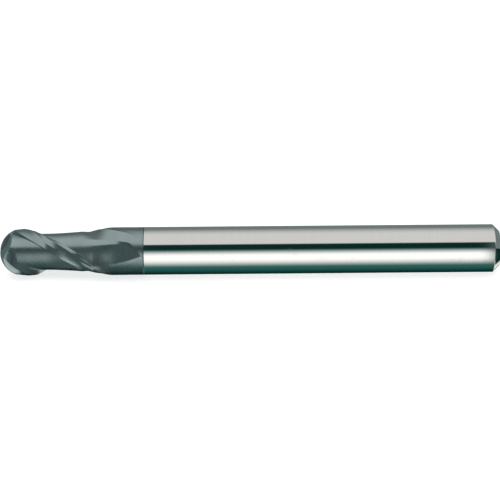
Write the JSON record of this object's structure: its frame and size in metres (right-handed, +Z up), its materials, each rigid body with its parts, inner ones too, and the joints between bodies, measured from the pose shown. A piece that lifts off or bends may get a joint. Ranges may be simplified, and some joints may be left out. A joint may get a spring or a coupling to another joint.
{
  "type": "end mill",
  "caption": "Ball-nose end mill with helical flutes on a coated head and a plain ground cylindrical shank with a chamfered end. The joint between head and shank is assumed to be brazed.",
  "frame": {"origin": "centre of the shank's flat rear end face", "axes": "+X along the tool's axis, out of the shank's end face, so the ball nose is at -X; +Z up, and the tool lies on a surface at z = -6 mm"},
  "size_m": [0.125, 0.012, 0.012],
  "materials": {
    "coated_carbide": "dark grey-teal hard coating, semi-gloss with blurred reflections",
    "braze_alloy": "thin dark joint line",
    "ground_steel": "bright centreless-ground, near mirror with fine lines round it"
  },
  "bodies": {
    "root": {"cutting_head": "coated_carbide", "braze_joint": "braze_alloy", "shank": "ground_steel"}
  },
  "joints": []
}
